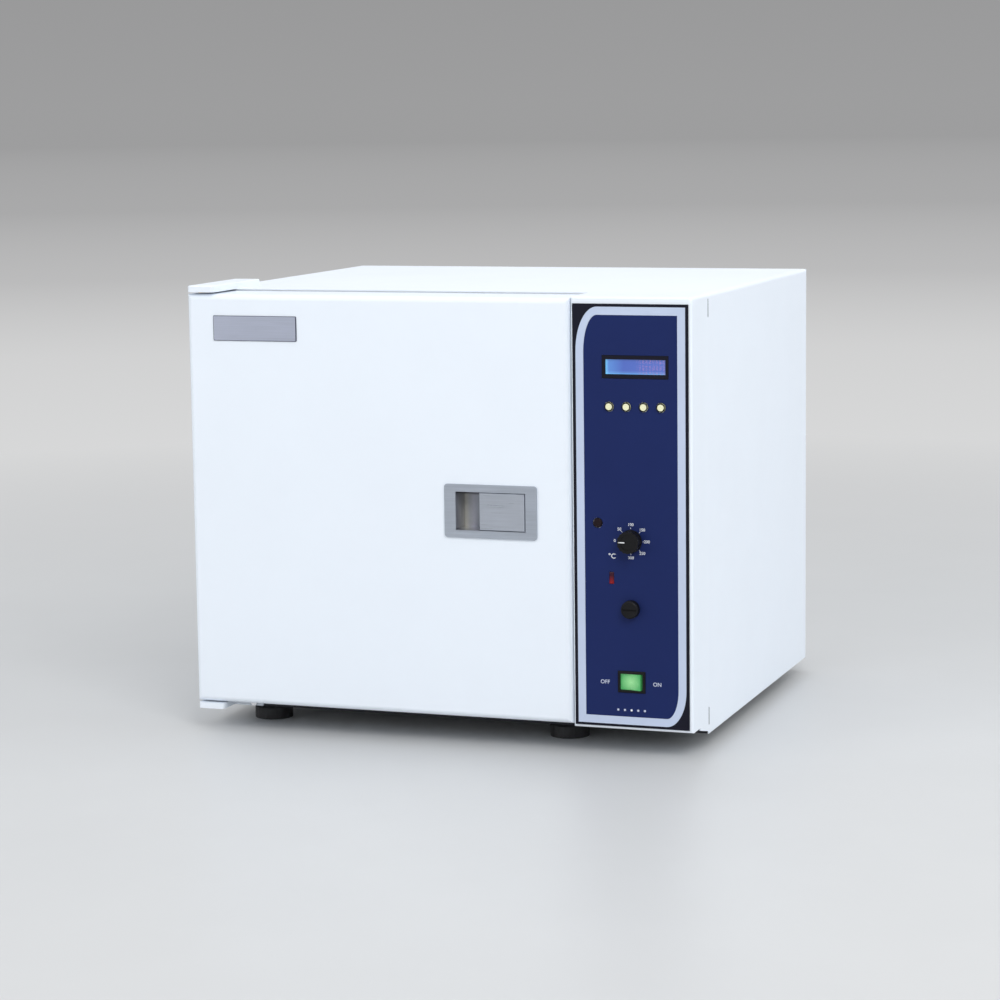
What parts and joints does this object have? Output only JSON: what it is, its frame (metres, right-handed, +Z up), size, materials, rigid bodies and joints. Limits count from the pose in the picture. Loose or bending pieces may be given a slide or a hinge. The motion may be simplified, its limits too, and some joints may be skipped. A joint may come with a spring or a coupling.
{
  "type": "dry heat sterilizer",
  "caption": "Bench-top hot air cabinet with a side-hung door, flush paddle latch, control column with display, buttons and dial, and a stainless chamber with sliding shelves.",
  "frame": {"origin": "on the bench, centre of the object's footprint box", "axes": "+X to the right seen from the front, +Y to the back, +Z up"},
  "size_m": [0.56, 0.52, 0.4835],
  "materials": {
    "white_paint": "satin powder coat",
    "galvanized": "zinc-plated sheet",
    "stainless": "brushed stainless",
    "wool": "mineral wool",
    "rubber": "moulded black",
    "silicone": "silicone, matt",
    "heater_sheath": "heat-darkened sheath",
    "copper": "drawn tube",
    "steel": "machined",
    "bronze": "sintered bearing metal",
    "screw_steel": "nickel-plated",
    "latch_steel": "brushed, satin",
    "panel_black": "matt black",
    "panel_silver": "printed silver film",
    "panel_blue": "printed blue film",
    "lcd_blue": "backlit blue",
    "board_green": "solder mask",
    "button_ivory": "moulded",
    "reset_brown": "moulded",
    "black_plastic": "moulded",
    "lamp_red": "translucent lens",
    "rocker_green": "translucent",
    "transformer_iron": "laminated core",
    "terminal_plastic": "moulded"
  },
  "bodies": {
    "cabinet": {"back_panel": "white_paint", "base_pan": "galvanized", "chamber_insulation": "wool", "control_housing": "white_paint", "control_panel": "panel_black", "divider_wall": "galvanized", "fault_lamp": "lamp_red", "feet": "rubber", "front_frame": "galvanized", "fuse_holder": "black_plastic", "heater_element": "heater_sheath", "heater_guard": "stainless", "hinge_arm": "white_paint", "hinge_bracket": "white_paint", "hinge_pins": "steel", "inner_chamber": "stainless", "keypad_board": "board_green", "lcd_bezel": "panel_black", "lcd_board": "board_green", "lcd_screen": "lcd_blue", "main_board": "board_green", "outer_cover": "white_paint", "panel_overlay": "panel_blue", "panel_trim": "panel_silver", "power_inlet": "black_plastic", "rear_spacers": "rubber", "reset_switch": "black_plastic", "rocker_housing": "black_plastic", "screws": "screw_steel", "shelf_rack_left": "stainless", "shelf_rack_right": "stainless", "strike_plate": "steel", "temperature_probe": "stainless", "terminal_block": "terminal_plastic", "thermostat_body": "black_plastic", "thermostat_capillary": "copper", "transformer": "transformer_iron", "vent_pipe": "stainless"},
    "door": {"door_shell": "white_paint", "door_inner_panel": "stainless", "door_insulation": "wool", "door_gasket": "silicone", "hinge_blocks": "steel", "door_bushes": "bronze", "latch_case": "latch_steel", "paddle_pin": "stainless", "paddle_spring": "stainless"},
    "paddle": {"paddle": "latch_steel"},
    "bolt": {"latch_bolt": "steel"},
    "knob": {"thermostat_knob": "black_plastic", "thermostat_shaft": "steel"},
    "fuse_cap": {"fuse_cap": "black_plastic"},
    "rocker": {"rocker": "rocker_green"},
    "reset_button": {"reset_button": "reset_brown"},
    "shelf_upper": {"shelf_upper": "stainless"},
    "shelf_lower": {"shelf_lower": "stainless"},
    "menu_button_1": {"menu_button_1": "button_ivory"},
    "menu_button_2": {"menu_button_2": "button_ivory"},
    "menu_button_3": {"menu_button_3": "button_ivory"},
    "menu_button_4": {"menu_button_4": "button_ivory"}
  },
  "joints": [
    {"name": "door_hinge", "type": "hinge", "parent": "cabinet", "child": "door", "pos_m": [-0.271, -0.219, 0.253], "axis": [0, 0, -1], "range_deg": [0, 120]},
    {"name": "paddle_hinge", "type": "hinge", "parent": "door", "child": "paddle", "pos_m": [0.0865, -0.2436, 0.25145], "axis": [0, 0, 1], "range_deg": [0, 35], "stiffness_Nm_per_rad": 0.05, "springref_deg": -11.46},
    {"name": "bolt_slide", "type": "slide", "parent": "door", "child": "bolt", "axis": [-1, 0, 0], "range_m": [0, 0.0066]},
    {"name": "menu_press_1", "type": "slide", "parent": "cabinet", "child": "menu_button_1", "axis": [0, 1, 0], "range_m": [0, 0.0008], "stiffness_N_per_m": 800},
    {"name": "menu_press_2", "type": "slide", "parent": "cabinet", "child": "menu_button_2", "axis": [0, 1, 0], "range_m": [0, 0.0008], "stiffness_N_per_m": 800},
    {"name": "menu_press_3", "type": "slide", "parent": "cabinet", "child": "menu_button_3", "axis": [0, 1, 0], "range_m": [0, 0.0008], "stiffness_N_per_m": 800},
    {"name": "menu_press_4", "type": "slide", "parent": "cabinet", "child": "menu_button_4", "axis": [0, 1, 0], "range_m": [0, 0.0008], "stiffness_N_per_m": 800},
    {"name": "reset_press", "type": "slide", "parent": "cabinet", "child": "reset_button", "axis": [0, 1, 0], "range_m": [0, 0.002], "stiffness_N_per_m": 600},
    {"name": "knob_turn", "type": "hinge", "parent": "cabinet", "child": "knob", "pos_m": [0.2147, -0.2484, 0.2265], "axis": [0, 1, 0], "range_deg": [0, 270]},
    {"name": "fuse_turn", "type": "hinge", "parent": "cabinet", "child": "fuse_cap", "pos_m": [0.2147, -0.2498, 0.1561], "axis": [0, -1, 0], "range_deg": [0, 60]},
    {"name": "rocker_tilt", "type": "hinge", "parent": "cabinet", "child": "rocker", "pos_m": [0.2147, -0.2428, 0.0797], "axis": [0, 0, 1], "range_deg": [0, 18]},
    {"name": "shelf_upper_slide", "type": "slide", "parent": "cabinet", "child": "shelf_upper", "axis": [0, -1, 0], "range_m": [0, 0.02]},
    {"name": "shelf_lower_slide", "type": "slide", "parent": "cabinet", "child": "shelf_lower", "axis": [0, -1, 0], "range_m": [0, 0.02]}
  ],
  "couplings": [
    {"joint": "paddle_hinge", "follows": "bolt_slide", "rad_per_m": 88.751}
  ]
}
